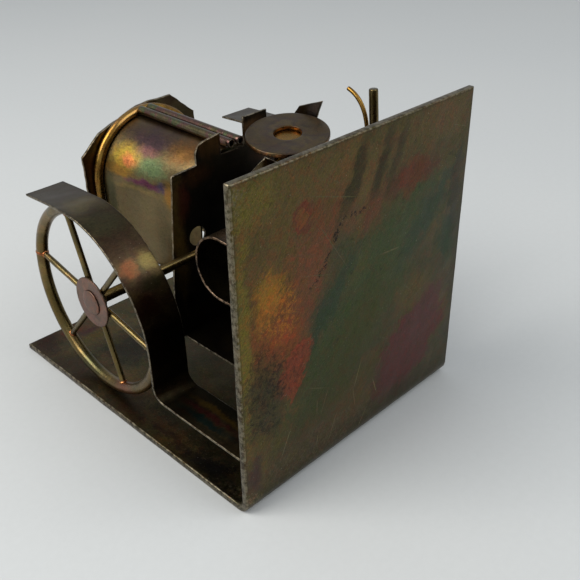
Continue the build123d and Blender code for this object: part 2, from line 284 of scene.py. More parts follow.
def sheetPlate(outline, place, thick, edge=0.2, holes=(), cell=2.0, rough=0.08, seed=5, bow=0.0, bowWave=40):
    # a cut plate: outline rings set in from the cut, an even web of points inside them, all joined by
    # triangles in the flat and then carried into space by place(x, y) -> point, normal
    rings = [(np.asarray(outline, float), False)] + [(np.asarray(h, float)[::-1], True) for h in holes]
    flats, constraints, loops, outs, fades = [], [], [], [], []
    start = 0
    for ring, isHole in rings:
        area = (ring[:, 0] * np.roll(ring[:, 1], -1) - ring[:, 1] * np.roll(ring[:, 0], -1)).sum()
        if (area < 0) != isHole:
            ring = ring[::-1]
        cut = ring if isHole else outlinePoints(ring, cell * 0.6, rough, seed)
        inner, away = insetLoop(cut, edge)
        second, unused = insetLoop(cut, edge + 0.35)
        third, unused = insetLoop(cut, edge + 0.9)
        size = len(cut)
        loops.append(np.arange(start, start + size))
        outs.append(away)
        flats += [inner, second, third]
        fades += [np.full(size, 0.8), np.full(size, 0.35), np.full(size, 0.08)]
        k = np.arange(size)
        constraints.append(np.stack([start + k, start + (k + 1) % size], -1))
        start += 3 * size
    low, high = flats[0].min(0), flats[0].max(0)
    gx, gy = np.meshgrid(np.arange(low[0], high[0], cell), np.arange(low[1], high[1], cell))
    web = np.stack([gx.ravel(), gy.ravel()], -1)
    web = web + np.random.default_rng(seed).uniform(-0.2, 0.2, web.shape) * cell
    near = np.concatenate(flats)
    gap = np.sqrt(((web[:, None] - near[None]) ** 2).sum(-1)).min(1)
    web = web[gap > cell * 0.55]
    web = web[within(web, flats[0])]
    openings = [flats[3 * number] for number in range(1, len(rings))]
    for opening in openings:
        web = web[~within(web, opening)]
    flat = np.concatenate([near, web])
    shade = np.concatenate(fades + [np.zeros(len(web))])
    edges = [tuple(e) for e in np.concatenate(constraints).tolist()]
    found = geometry.delaunay_2d_cdt([tuple(p) for p in flat.tolist()], edges, [], 1, 1e-6)
    coords = np.array([tuple(v) for v in found[0]])
    faces = np.array(found[2])
    for opening in openings:
        faces = faces[~within(coords[faces].mean(1), opening)]
    origin = np.array([o[0] for o in found[3]])
    order = {int(o): k for k, o in enumerate(origin)}
    loops = [np.array([order[int(k)] for k in loop]) for loop in loops]
    shade = shade[origin]
    points, normals = place(coords)
    if bow:
        points = points + normals * ripple(points, bowWave, bow, seed + 9)[:, None]
    spaceOuts = []
    for loop, away in zip(loops, outs):
        nearby, unused = place(coords[loop] + away * 0.05)
        here, unused = place(coords[loop])
        spaceOuts.append((nearby - here) / 0.05)
    return shell(points, normals, [faces], loops, spaceOuts, thick, edge, shade)


def flatPlace(origin, xWay, yWay):
    # (x, y) on a plane in space: origin + x along xWay + y along yWay
    xWay, yWay = unit(xWay), unit(yWay)
    normal = np.cross(xWay, yWay)
    origin = np.asarray(origin, float)

    def place(flat):
        points = origin + flat[:, :1] * xWay + flat[:, 1:] * yWay
        return points, np.broadcast_to(normal, points.shape).copy()
    return place


def makePiece(name, parts, body, material, nodes=()):
    # joins shells given in millimetres into one smooth mesh in metres, with its wear attribute
    points, loops, sizes, shades = [], [], [], []
    start = 0
    for part, shells, wear in parts:
        for group in outwardAll(part, shells):
            loops.append((group + start).ravel())
            sizes.append(np.full(len(group), group.shape[1]))
        points.append(part)
        shades.append(wear)
        start += len(part)
    points = np.concatenate(points) * mm
    loops, sizes = np.concatenate(loops), np.concatenate(sizes)
    mesh = bpy.data.meshes.new(name)
    mesh.vertices.add(len(points))
    mesh.vertices.foreach_set("co", points.ravel().astype(np.float32))
    mesh.loops.add(len(loops))
    mesh.loops.foreach_set("vertex_index", loops.astype(np.int32))
    mesh.polygons.add(len(sizes))
    mesh.polygons.foreach_set("loop_start", np.concatenate([[0], np.cumsum(sizes)[:-1]]).astype(np.int32))
    mesh.polygons.foreach_set("use_smooth", np.ones(len(sizes), bool))
    mesh.update(calc_edges=True)
    mesh.validate()
    layer = mesh.attributes.new("wear", "FLOAT", "POINT")
    layer.data.foreach_set("value", np.concatenate(shades).astype(np.float32))
    mesh.materials.append(material)
    piece = bpy.data.objects.new(name, mesh)
    bpy.context.scene.collection.objects.link(piece)
    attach(piece, body)
    if nodes:
        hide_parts(*nodes)
    return piece


def outwardAll(points, shells):
    # one test of the signed volume for a whole closed part
    volume = 0.0
    for faces in shells:
        first = points[faces[:, 0]] - points.mean(0)
        for k in range(1, faces.shape[1] - 1):
            second, third = points[faces[:, k]] - points.mean(0), points[faces[:, k + 1]] - points.mean(0)
            volume += np.einsum("ij,ij->i", first, np.cross(second, third)).sum()
    return shells if volume > 0 else [faces[:, ::-1] for faces in shells]


class Val:
    # a socket that can be used in arithmetic: every operator adds one Math node
    def __init__(self, net, socket):
        self.net = net
        self.socket = socket

    def join(self, operation, *values):
        return self.net.node("ShaderNodeMath", {"operation": operation}, dict(enumerate(values)))

    def __add__(self, other):
        return self.join("ADD", self, other)

    def __radd__(self, other):
        return self.join("ADD", other, self)

    def __sub__(self, other):
        return self.join("SUBTRACT", self, other)

    def __rsub__(self, other):
        return self.join("SUBTRACT", other, self)

    def __mul__(self, other):
        return self.join("MULTIPLY", self, other)

    def __rmul__(self, other):
        return self.join("MULTIPLY", other, self)

    def __pow__(self, other):
        return self.join("POWER", self, other)


class Net:
    def __init__(self, name):
        self.material = bpy.data.materials.new(name)
        self.material.use_nodes = True
        self.tree = self.material.node_tree
        self.tree.nodes.clear()

    def node(self, kind, settings=None, inputs=None, output=0):
        # makes a node, gives it its settings first and then the values or links of its sockets
        made = self.tree.nodes.new(kind)
        for key, value in (settings or {}).items():
            if key == "stops":
                ramp = made.color_ramp
                while len(ramp.elements) < len(value):
                    ramp.elements.new(0.5)
                for element, (place, colour) in zip(ramp.elements, value):
                    element.position = place
                    element.color = tuple(colour) + (1.0,)
            else:
                setattr(made, key, value)
        for key, value in (inputs or {}).items():
            if isinstance(value, Val):
                self.tree.links.new(value.socket, made.inputs[key])
            else:
                made.inputs[key].default_value = value
        return Val(self, made.outputs[output]) if len(made.outputs) else None

    def vector(self, operation, *values, output=0):
        return self.node("ShaderNodeVectorMath", {"operation": operation}, dict(enumerate(values)), output)

    def scaled(self, vector, factor):
        return self.node("ShaderNodeVectorMath", {"operation": "SCALE"}, {0: vector, "Scale": factor})

    def noise(self, point, scale, detail=4.0, roughness=0.55, output="Fac", distortion=0.0):
        return self.node("ShaderNodeTexNoise", None, {"Vector": point, "Scale": scale, "Detail": detail,
                                                      "Roughness": roughness, "Distortion": distortion},
                                                      output)

    def placed(self, point, location, rotation, size):
        # the point measured from a place, in turned axes, in units of size
        return self.node("ShaderNodeMapping", {"vector_type": "TEXTURE"},
                         {"Vector": point, "Location": location, "Rotation": rotation, "Scale": size})

    def span(self, value, low, high, fromZero=0.0, toOne=1.0):
        # a smooth step between low and high
        return self.node("ShaderNodeMapRange", {"interpolation_type": "SMOOTHSTEP"},
                         {"Value": value, "From Min": low, "From Max": high, "To Min": fromZero,
                          "To Max": toOne})

    def mix(self, factor, first, second, blend="MIX"):
        return self.node("ShaderNodeMix", {"data_type": "RGBA", "blend_type": blend},
                         {0: factor, 6: first, 7: second}, 2)


def tone(text, gain=1.0):
    # a colour written as in a paint program, made linear
    parts = [int(text[k:k + 2], 16) / 255 for k in (0, 2, 4)]
    linear = [c / 12.92 if c <= 0.04045 else ((c + 0.055) / 1.055) ** 2.4 for c in parts]
    return tuple(min(1.0, gain * c) for c in linear)


def colour4(text, gain=1.0):
    return tone(text, gain) + (1.0,)


def scratches(count, low, high, turns, length, colour, seed):
    # thin pale lines at seeded places in a box, each a very narrow patch
    dice = np.random.default_rng(seed)
    lines = []
    for place, turn, reach, strong in zip(dice.uniform(low, high, (count, 3)), dice.uniform(*turns, count),
                                          dice.uniform(*length, count), dice.uniform(0.35, 0.9, count)):
        lines.append((tuple(place), (0.16, 9.0, reach), colour, strong, (0, turn, 0), "line"))
    return lines


def patina(name, look):
    # heat-coloured steel: a drifting film of oxide colours, patches laid where the piece shows them,
    # brush lines, pits, pale specks and rubbed edges; some looks also paint shade and a highlight into these
    net = Net(name)
    look = {**plainLook, **look}
    gain = look["gain"]
    here = net.node("ShaderNodeTexCoord", None, None, "Object")
    point = net.scaled(here, 1000.0)
    brushTurn = tuple(math.radians(t) for t in look["brushTurn"])
    drift = net.noise(point, look["driftScale"], 4.0, 0.6, "Color")
    drift = net.vector("SUBTRACT", drift, (0.5, 0.5, 0.5))
    fine = net.noise(net.placed(point, (0, 0, 0), brushTurn, look["brushSize"]), 1.0, 4.0, 0.7, "Color")
    fine = net.vector("SUBTRACT", fine, (0.5, 0.5, 0.5))
    moved = net.vector("ADD", point, net.scaled(drift, look["drift"]))
    moved = net.vector("ADD", moved, net.scaled(fine, look["wobble"]))
    base = point
    if look["bothSides"]:
        base = net.vector("ABSOLUTE", net.vector("MULTIPLY", moved, (1, 0, 0)))
        moved = net.vector("ADD", base, net.vector("MULTIPLY", moved, (0, 1, 1)))
    film = net.noise(moved, look["filmScale"], 3.0, 0.5)
    colour = net.node("ShaderNodeValToRGB", {"stops": [(p, tone(c, gain)) for p, c in look["film"]]},
                      {"Fac": film})
    mottleGrain = net.noise(moved, look["mottleScale"], 5.0, 0.7)
    speckle = net.span(net.noise(point, 0.9, 4.0, 0.75), 0.47, 0.56)
    ragged = (net.noise(moved, 0.22, 7.0, 0.82) - 0.5) * look["ragged"]
    for zone in look["zones"]:
        at, size, hue, strength = zone[:4]
        turn = tuple(math.radians(t) for t in zone[4]) if len(zone) > 4 else (0, 0, 0)
        kind = zone[5] if len(zone) > 5 else "soft"
        local = net.placed(point if kind in ("sharp", "line") else moved, at, turn, size)
        away = net.vector("LENGTH", local, output="Value")
        if kind not in ("sharp", "line"):
            away = away + ragged
        outer, inner = zoneFade.get(kind, (1.25, 0.7))
        mask = net.span(away, outer, inner) * strength
        if kind == "speckle":
            mask = mask * speckle
        colour = net.mix(mask, colour, colour4(hue, gain))
    mottle = net.node("ShaderNodeValToRGB", {"stops": [(p, tone(c)) for p, c in look["mottle"]]},
                      {"Fac": mottleGrain})
    colour = net.mix(look["mottleDepth"], colour, mottle, "OVERLAY")
    fleck = net.node("ShaderNodeValToRGB", {"stops": [(p, tone(c)) for p, c in mottleStops]},
                     {"Fac": net.noise(moved, 1.2, 5.0, 0.8)})
    colour = net.mix(look["fleckDepth"], colour, fleck, "OVERLAY")
    brush = net.noise(net.placed(point, (0, 0, 0), brushTurn, look["brushSize"]), 4.0, 5.0, 0.7)
    grain = net.noise(point, look["grainScale"], 5.0, 0.75)
    shade = 1.0 + (brush - 0.5) * look["brushDepth"] + (grain - 0.5) * look["grainDepth"]
    colour = net.scaled(colour, shade)
    pits = net.span(net.noise(point, look["pitScale"], 5.0, 0.8), look["pitFrom"], 0.68)
    colour = net.mix(pits * look["pitDepth"], colour, colour4(look["pitColour"], gain))
    specks = net.span(net.noise(point, 1.9, 3.0, 0.6), 0.69, 0.73) * look["specks"]
    colour = net.mix(specks, colour, colour4(look["speckColour"], gain))
    wear = net.node("ShaderNodeAttribute", {"attribute_name": "wear"}, None, "Fac")
    lip = net.span(wear, 0.15, 0.7) * look["edgeShade"]
    colour = net.mix(lip, colour, colour4("1c1812"))
    rub = net.span(wear * 0.62 + net.noise(point, 0.55, 6.0, 0.75) * 0.8, 0.94, 1.1) * look["wear"]
    colour = net.mix(rub, colour, colour4(look["wearColour"], gain))
    rough = look["rough"] + (brush - 0.5) * 0.22 + (grain - 0.5) * 0.25 + pits * 0.15
    height = brush * look["brushBump"] + grain * 0.5 - pits * 0.6
    bump = net.node("ShaderNodeBump", None, {"Strength": look["bump"], "Distance": 0.00012,
                                             "Height": height})
    waves = net.noise(point, look["waveScale"], 2.0, 0.5)
    bump = net.node("ShaderNodeBump", None, {"Strength": look["waves"], "Distance": 0.002,
                                             "Height": waves, "Normal": bump})
    shader = net.node("ShaderNodeBsdfPrincipled", None, {
        "Base Color": colour, "Roughness": rough, "Metallic": look["metallic"], "Normal": bump,
        "Coat Weight": look["coat"], "Coat Roughness": 0.3})
    net.node("ShaderNodeOutputMaterial", None, {"Surface": shader})
    return net.material


mottleStops = [(0.3, "4a4438"), (0.42, "8e8c58"), (0.5, "808080"), (0.58, "a2805e"), (0.7, "6e5870")]
diagonal = 46
zoneFade = {"soft": (1.25, 0.3), "crisp": (1.12, 0.86)}
# what a look has unless it says otherwise; scales are per millimetre
plainLook = {
    "gain": 1.0, "metallic": 1.0, "coat": 0.1, "bothSides": False, "zones": (), "ragged": 1.6,
    "driftScale": 0.09, "drift": 10.0, "wobble": 6.0, "brushTurn": (0, 0, 0), "brushDepth": 0.9,
    "brushBump": 0.4,
    "mottle": mottleStops, "mottleScale": 0.35, "mottleDepth": 0.35, "fleckDepth": 0.2,
    "grainScale": 1.6, "grainDepth": 1.2, "pitScale": 1.1, "pitFrom": 0.6, "pitDepth": 0.55,
    "pitColour": "1a140e",
    "specks": 0.3, "speckColour": "a9a28c", "edgeShade": 0.3, "wear": 0.6, "wearColour": "a79b83",
    "bump": 0.3, "waveScale": 0.06, "waves": 0.4,
}


def onFace(x, z, wide, tall, hue, strength, lean=0, kind="soft"):
    # a patch on the upright's rear face, where x and z are its middle and lean turns its long side over
    return ((x, 64, z), (wide, 20, tall), hue, strength, (0, lean, 0), kind)


standLook = {
    "filmScale": 0.035, "brushTurn": (0, 46, 0), "brushSize": (9.0, 6.0, 1.3), "drift": 9.0, "wobble": 5.0,
    "film": [(0.25, "6b6c4a"), (0.42, "85794e"), (0.55, "6a6c50"), (0.68, "8b7856"), (0.8, "70604a")],
    "rough": 0.4, "specks": 0.5, "wear": 0.55, "wearColour": "938a74", "coat": 0.1, "mottleDepth": 0.8,
    "fleckDepth": 0.75,
    "bump": 0.6, "grainDepth": 1.9, "brushDepth": 1.4, "ragged": 2.2,
    "zones": [
        onFace(18, 92, 36, 24, "96835a", 0.8),
        onFace(15, 84, 14, 14, "8f6c54", 0.75, diagonal),
        onFace(44, 103, 12, 9, "a39a5c", 0.7),
        onFace(24, 70, 12, 24, "a4745e", 0.85, lean=-20),
        onFace(38, 62, 13, 20, "b2704a", 0.85),
        onFace(33, 58, 6, 9, "c4724a", 0.8, diagonal),
        onFace(38.5, 73, 7, 9, "cfb050", 0.85),
        onFace(35, 66, 7, 9, "d9a84e", 0.7, kind="speckle"),
        # a pale yellow-green band down the face's left edge: its tint, lightened as a painted highlight
        onFace(48.5, 62, 3, 40, "a8a052", 0.85),
        onFace(-4, 60, 58, 19, "5c7650", 0.95, diagonal),
        onFace(0, 44, 34, 12, "66703f", 0.8, diagonal),
        onFace(4, 68, 12, 7, "7d8052", 0.6, diagonal),
        onFace(-44, 62, 9, 13, "3f6550", 0.9),
        onFace(14, 61, 24, 5, "46685a", 0.75, lean=48),
        onFace(-32, 74, 22, 6, "46675a", 0.75, diagonal),
        onFace(10, 76, 8, 5, "58705a", 0.7, diagonal),
        onFace(30, 44, 5.5, 10, "c2684e", 0.9, lean=-20, kind="crisp"),
        onFace(-26, 24, 21, 13, "8a505c", 0.85, diagonal, kind="crisp"),
        onFace(-36, 38, 12, 8, "80545e", 0.7, diagonal),
        onFace(-22, 90, 20, 6, "80503f", 0.85, lean=8),
        onFace(-22, 89, 8, 5, "94583a", 0.6, diagonal, kind="crisp"),
        onFace(-46, 78, 4, 18, "4a4a4c", 0.65),
        onFace(-38, 103, 18, 9, "907c58", 0.8),
        onFace(5, 97, 2.6, 16, "4a4c34", 0.85, lean=-24),
        onFace(-6, 94, 3.0, 17, "46432f", 0.8, lean=-24),
        onFace(-14, 98, 2.2, 14, "55503a", 0.7, lean=-24),
        onFace(-3, 84, 6, 7, "9a6a54", 0.7, lean=30),
        onFace(25, 91.8, 4.8, 4.2, "96524a", 0.65, kind="crisp"),
        onFace(25, 91.6, 2.4, 2.0, "b08050", 0.6, kind="crisp"),
        onFace(18, 73.5, 7.5, 0.8, "14120c", 0.95, lean=45, kind="speckle"),
        onFace(11, 82, 5.5, 0.9, "14120c", 0.95, lean=58, kind="speckle"),
        onFace(4, 86.3, 5, 0.8, "14120c", 0.9, lean=12, kind="speckle"),
        onFace(41, 40, 8, 15, "5c5a44", 0.8),
        onFace(42, 42, 8, 17, "1f1a12", 0.55, kind="speckle"),
        onFace(32, 46, 8, 10, "241c14", 0.35, kind="speckle"),
        onFace(47, 14, 4, 8, "5e4452", 0.8),
        onFace(0, 5, 70, 8, "5c5a44", 0.8),
        onFace(22, 13, 26, 9, "7d6d55", 0.5),
        onFace(18, 10, 26, 7, "a09a84", 0.35, kind="speckle"),
        onFace(-50, 40, 5, 60, "66665a", 0.75),
        onFace(51, 108, 4, 7, "a39d8c", 0.8, kind="speckle"),
        onFace(51, 1, 8, 7, "b0a896", 0.9, kind="speckle"),
        ((51.6, 0, 55), (1.0, 300, 300), "4e483c", 0.95, (0, 0, 0), "sharp"),
        ((-51.6, 0, 55), (1.0, 300, 300), "4e483c", 0.95, (0, 0, 0), "sharp"),
        ((0, -64.7, 1), (300, 1.0, 300), "4e483c", 0.95, (0, 0, 0), "sharp"),
        ((46, -58, 2), (9, 9, 5), "4a3026", 0.9),
        ((46, -35, 2), (8, 22, 5), "5a4a3c", 0.85),
        ((46, -5, 2), (9, 16, 5), "4e4434", 0.8),
        ((33, -59, 2), (8, 5, 5), "8a5038", 0.85),
        ((29, -54.5, 2), (8, 3.2, 5), "6e4248", 0.9),
        ((29, -48.5, 2), (9, 3.2, 5), "80743a", 0.9),
        # painted shade on the base under the front of the car and along under the wheel and fender
        ((24, -32, 2), (14, 13, 5), "3c3c32", 0.9),
        ((40, 24, 2), (5, 34, 5), "3a3a2c", 0.8),
        ((43, 14, 2), (2.2, 14, 5), "6a5230", 0.8),
        ((45.5, 22, 2), (2.2, 18, 5), "4a2c24", 0.8),
        # painted shade on the base under the running board and broadly under the car
        ((45.5, 42, 2), (4, 16, 5), "1d1c22", 0.9),
        ((48.5, 40, 2), (2, 26, 5), "302a20", 0.7),
        ((0, 0, 2), (26, 60, 5), "4a4a3e", 0.6),
    ] + scratches(10, (-10, 64, 6), (38, 64, 30), (-35, 30), (1.5, 6.0), "b9b49c", 7)
      + scratches(8, (-45, 64, 30), (30, 64, 100), (30, 75), (3.0, 12.0), "8e9078", 9)
      + [onFace(-13, 67, 4.5, 0.3, "9a9a80", 0.7, lean=-6, kind="line")],
}
bodyLook = {
    "filmScale": 0.06, "brushSize": (8.0, 1.5, 1.5), "drift": 6.0, "wobble": 2.5, "bothSides": True,
    "film": [(0.3, "403626"), (0.42, "5a5038"), (0.52, "463628"), (0.62, "564a2e"), (0.74, "3a2c2c")],
    "rough": 0.34, "specks": 0.35, "wear": 0.45, "coat": 0.1,
}
fenderLook = dict(bodyLook, zones=[
    ((44, -32, 76), (12, 12, 5), "564c40", 0.8),
    ((43, -19, 76), (7, 6, 4), "7a6c44", 0.75),
    ((43, -6, 74), (9, 8, 4), "47452f", 0.7),
    ((43, 3, 69), (9, 5, 4), "4c3c2e", 0.8),
    ((39.4, 9.5, 63.5), (3.6, 3.4, 4.6), "8b7d4a", 0.6),
    ((46.6, 9.5, 63.5), (4.2, 3.4, 4.6), "8e5a3a", 0.65),
    ((41, 14.5, 59), (5, 2.5, 3), "30301c", 0.8),
    ((46, 17, 53), (5, 4, 5), "3a1f16", 0.85),
    ((42, 21, 42), (12, 4, 12), "15100e", 0.9),
    ((47, 21, 40), (2.5, 4, 12), "2a1512", 0.7),
    ((43, 21, 28), (12, 4, 5), "352e22", 0.8),
    ((44, 28, 22), (8, 4, 3), "4d4836", 0.85),
    ((38, 40, 22), (3, 20, 3), "3a3a2e", 0.9),
    ((41.5, 41, 22), (1.3, 15, 3), "75602a", 0.9),
    ((44.2, 41, 22), (1.5, 14, 3), "5e2c2c", 0.9),
    ((47.0, 42, 22), (1.6, 15, 3), "1e3a3a", 0.9),
    ((49.5, 42, 22), (0.8, 17, 3), "3c3a2a", 0.8),
])
hoodLook = {
    "filmScale": 0.05, "brushTurn": (0, 0, 0), "brushSize": (2.0, 8.0, 2.0), "drift": 5.0, "wobble": 2.0,
    "bothSides": True,
    "film": [(0.3, "6f6246"), (0.45, "80704e"), (0.6, "776a4c"), (0.75, "84745a")],
    "rough": 0.33, "specks": 0.2, "wear": 0.5, "coat": 0.1,
    "zones": [
        ((8.7, -20.4, 87.8), (40, 26, 4), "5e4a3c", 0.9),
        ((10.5, -22.5, 86.8), (40, 12, 2.5), "54404a", 0.8),
        ((10.2, -5.9, 86.5), (40, 8, 4), "8a6234", 0.85),
        ((17.2, -30.7, 80.2), (40, 8.5, 5), "c4a640", 0.95),
        ((17.2, -28.4, 79.9), (40, 4.5, 2.6), "e0905a", 0.9),
        ((19.2, -31.9, 76.0), (40, 9, 2), "b8873a", 0.85),
        ((16.4, -16.8, 79.6), (40, 8.5, 4.4), "7f9468", 0.95),
        ((13.5, -20.9, 84.2), (40, 7, 1.6), "8a5a60", 0.65),
        ((18.1, -17.9, 74.1), (40, 11.5, 1.3), "7a4060", 0.95),
        ((17.1, -10.2, 74.6), (40, 3.6, 1.7), "50486e", 0.9),
        ((16.8, -7.0, 72.9), (40, 3.5, 5), "a87c36", 0.85),
        ((19.2, -24.6, 71.3), (40, 14, 1.0), "a08a56", 0.6),
        ((18.8, -21.7, 57.8), (40, 14, 13), "807252", 0.7),
        ((20.8, -36.7, 65.7), (40, 3, 12), "4d4c34", 0.85),
        ((17.4, -11.4, 56.6), (40, 4, 14), "62573c", 0.6),
    ],
}
# the firewall and floor board: a near-black film, partly dark patina and partly painted shade for sheets
# lying in shadow; the near-black patch round the hole is patina deepened by the same painted shade
darkPatinaAndShadeLook = {
    "filmScale": 0.05, "brushSize": (2.0, 2.0, 8.0), "drift": 5.0, "wobble": 3.0, "bothSides": True,
    "metallic": 0.85,
    "film": [(0.3, "1d1a12"), (0.42, "2c2617"), (0.52, "221c18"), (0.62, "332b1a"), (0.74, "1b1918")],
    "rough": 0.38, "specks": 0.2, "wear": 0.5, "coat": 0.05,
    "zones": [
        ((24.5, 6, 66), (4.0, 5, 24), "806836", 0.9),
        ((21.5, 6, 76), (3.0, 5, 8), "5e2c20", 0.8),
        ((15, 6, 84), (7, 5, 4), "5a3a1c", 0.8),
        ((10, 6, 93), (7, 5, 5), "684a26", 0.85),
        ((12, 6, 60), (8, 5, 30), "0c0e0c", 0.8),
    ],
}
cushionLook = dict(darkPatinaAndShadeLook, rough=0.3, wear=0.7, wearColour="b5967a", zones=[
    ((20, 27, 73), (8, 10, 3), "5e4e3c", 0.9), ((24, 18, 70), (4, 6, 5), "4a4034", 0.8)])
rodLook = {
    "filmScale": 0.07, "brushSize": (3.0, 3.0, 3.0), "drift": 6.0, "wobble": 1.0,
    "film": [(0.3, "5e5032"), (0.42, "7d6c42"), (0.52, "6a5f3e"), (0.62, "8a774a"), (0.74, "6b4f42")],
    "rough": 0.3, "specks": 0.15, "wear": 0.5, "coat": 0.15, "brushDepth": 0.4, "grainDepth": 0.7,
    "pitDepth": 0.35,
}
rimLook = dict(rodLook, zones=[
    ((43, -54, 52), (5, 8, 12), "7c6438", 0.8), ((43, -48, 62), (5, 10, 8), "8a7452", 0.7),
    ((43, -50, 24), (5, 10, 12), "66582e", 0.8), ((43, -30, 7), (5, 12, 5), "4f5034", 0.8),
    ((43, -6, 8), (5, 9, 6), "8a5c4e", 0.8), ((43, 8, 18), (5, 6, 9), "6a5a3e", 0.7)])
tubeLook = dict(rodLook, film=[(0.3, "5a5438"), (0.42, "6a6048"), (0.52, "6e4e4c"), (0.62, "5a6648"),
                               (0.74, "7a6a50")],
                filmScale=0.12)
brassLook = {
    "filmScale": 0.08, "brushSize": (3.0, 3.0, 3.0), "drift": 6.0, "wobble": 1.0,
    "film": [(0.3, "7c5f26"), (0.42, "a37c34"), (0.52, "8f6c30"), (0.62, "b08c42"), (0.74, "94603c")],
    "rough": 0.27, "specks": 0.2, "wear": 0.5, "coat": 0.15, "brushDepth": 0.4, "grainDepth": 0.7,
    "pitDepth": 0.4,
    "zones": [((20, -41, 60), (6, 5, 12), "50492c", 0.85), ((-20, -41, 60), (6, 5, 12), "50492c", 0.85),
              ((6, -41, 91), (10, 5, 5), "c09a60", 0.6)],
}
copperLook = {
    "filmScale": 0.16, "brushSize": (2.0, 2.0, 2.0), "drift": 5.0, "wobble": 1.5,
    "film": [(0.3, "6e5a50"), (0.42, "8a6c60"), (0.52, "7c6660"), (0.62, "977264"), (0.74, "6c6058")],
    "rough": 0.4, "specks": 0.4, "wear": 0.4, "coat": 0.05, "mottleDepth": 0.45,
}
brazeLook = dict(copperLook, film=[(0.3, "8a5438"), (0.45, "b06c44"), (0.6, "c48a5a"), (0.75, "8c6a4a")],
                 rough=0.3)
washerLook = {
    "filmScale": 0.09, "brushSize": (2.0, 2.0, 2.0), "drift": 5.0, "wobble": 1.5,
    "film": [(0.3, "4c4030"), (0.42, "625238"), (0.52, "54453c"), (0.62, "6c5c3e"), (0.74, "4e3c38")],
    "rough": 0.36, "specks": 0.25, "wear": 0.85, "wearColour": "96663e", "coat": 0.08,
}
radiatorLook = dict(bodyLook, zones=[((-18, -43, 84), (9, 5, 8), "55564a", 0.8),
                                     ((-4, -43, 90), (8, 5, 4), "8a5a30", 0.8),
                                     ((24, -43, 60), (5, 5, 20), "6c5830", 0.8),
                                     ((24, -43, 76), (5, 5, 6), "705030", 0.8)])
seatBackLook = dict(bodyLook, bothSides=False, zones=[
    ((16, 46, 92), (7, 5, 14), "8a5a20", 0.9), ((24, 42, 92), (5, 7, 14), "574c40", 0.9)])
wingLook = dict(bodyLook, bothSides=False, zones=[
    ((-25, 12, 92), (4, 5, 9), "4a3c34", 0.9), ((-25, 21, 99), (4, 5, 5), "625c5c", 0.9)])

standMetal = patina("standPatina", standLook)
fenderMetal = patina("fenderPatina", fenderLook)
radiatorMetal = patina("radiatorPatina", radiatorLook)
seatBackMetal = patina("seatBackPatina", seatBackLook)
wingMetal = patina("wingPatina", wingLook)
hoodMetal = patina("hoodPatina", hoodLook)
# a near-black film for the firewall and floor board, partly patina and partly painted shade
darkPatinaAndShadeMetal = patina("firewallPatinaAndShade", darkPatinaAndShadeLook)
cushionMetal = patina("cushionPatina", cushionLook)
rodMetal = patina("rodPatina", rodLook)
rimMetal = patina("rimPatina", rimLook)
tubeMetal = patina("tubePatina", tubeLook)
brassMetal = patina("archPatina", brassLook)
copperMetal = patina("copperPatina", copperLook)
brazeMetal = patina("brazePatina", brazeLook)
washerMetal = patina("washerPatina", washerLook)
print("materials made")


stand = {"thick": 2.3, "bend": 4.4, "edge": 0.45, "cell": 1.3}


def makeStand():
    low, high = boxOf("stand")
    half, bend, edge = stand["thick"] / 2, stand["bend"], stand["edge"]
    turn = bend - half
    line = bentLine([("line", (low[1] + edge, half), (high[1] - bend, half)),
                     ("arc", (high[1] - bend, bend), turn, -90, 0),
                     ("line", (high[1] - half, bend), (high[1] - half, high[2] - edge))], cell=stand["cell"])
    width = high[0] - low[0] - 2 * edge
    across = spread(width, stand["cell"]) + low[0] + edge
    middle = np.stack([np.broadcast_to(across[None], (len(line), len(across))),
                       np.broadcast_to(line[:, :1], (len(line), len(across))),
                       np.broadcast_to(line[:, 1:], (len(line), len(across)))], -1).copy()
    middle[..., 1] += ripple(middle, 60, 0.06, 11) - 0.08
    middle[..., 0] *= 1 - 0.0012 * (1 + ripple(middle * (0, 1, 1), 9, 1.0, 12))
    makePiece("standPlate", [sheetGrid(middle, stand["thick"], edge)], "car", standMetal,
              ["stand"])


makeStand()
print("stand made")


fender = {"thick": 0.8, "centre": (-18.6, 36.0), "radius": 39.8, "start": 92.5, "bend": 4.5, "board": 22.2,
          "boardBend": 25.7, "edge": 0.2, "rightLift": 4.0}


def makeFender(side, sign):
    low, high = boxOf(side + "_fender")
    half, edge = fender["thick"] / 2, fender["edge"]
    lift = 0.0 if sign > 0 else fender["rightLift"]
    centre, radius = np.array(fender["centre"]) + (0, lift), fender["radius"] - half
    first = centre + radius * np.array([math.cos(math.radians(fender["start"])),
                                        math.sin(math.radians(fender["start"]))])
    slope = math.tan(math.radians(fender["start"] - 90))
    tip = np.array([low[1] + edge, first[1] - (first[0] - low[1] - edge) * slope])
    bend = fender["bend"] + half
    boardCentre = (fender["boardBend"], fender["board"] - half + bend)
    line = bentLine([("line", tip, first), ("arc", centre, radius, fender["start"], 0),
                     ("line", (centre[0] + radius, centre[1]), (centre[0] + radius, boardCentre[1])),
                     ("arc", boardCentre, bend, 180, 270),
                     ("line", (boardCentre[0], boardCentre[1] - bend),
                      (high[1] - edge, boardCentre[1] - bend))])
    across = spread(high[0] - low[0] - 2 * edge, 1.0) + low[0] + edge
    middle = np.empty((len(line), len(across), 3))
    middle[..., 0] = across[None]
    middle[..., 1:] = line[:, None]
    wander = ripple(middle[:, :1] * (0, 1, 1), 16, 0.12, 21 + sign)
    middle[..., 0] += wander
    middle[..., 2] += ripple(middle, 22, 0.12, 23 + sign)
    makePiece(side + "Fender", [sheetGrid(middle, fender["thick"], edge)], "car", fenderMetal,
              [side + "_fender"])


for side, sign in sides.items():
    makeFender(side, sign)
print("fenders made")


wheel = {"rod": 2.2, "spoke": 1.1, "spokes": 6, "first": 168.0, "bush": 3.5, "bore": 2.03, "disc": 9.3,
         "discThick": 0.8}


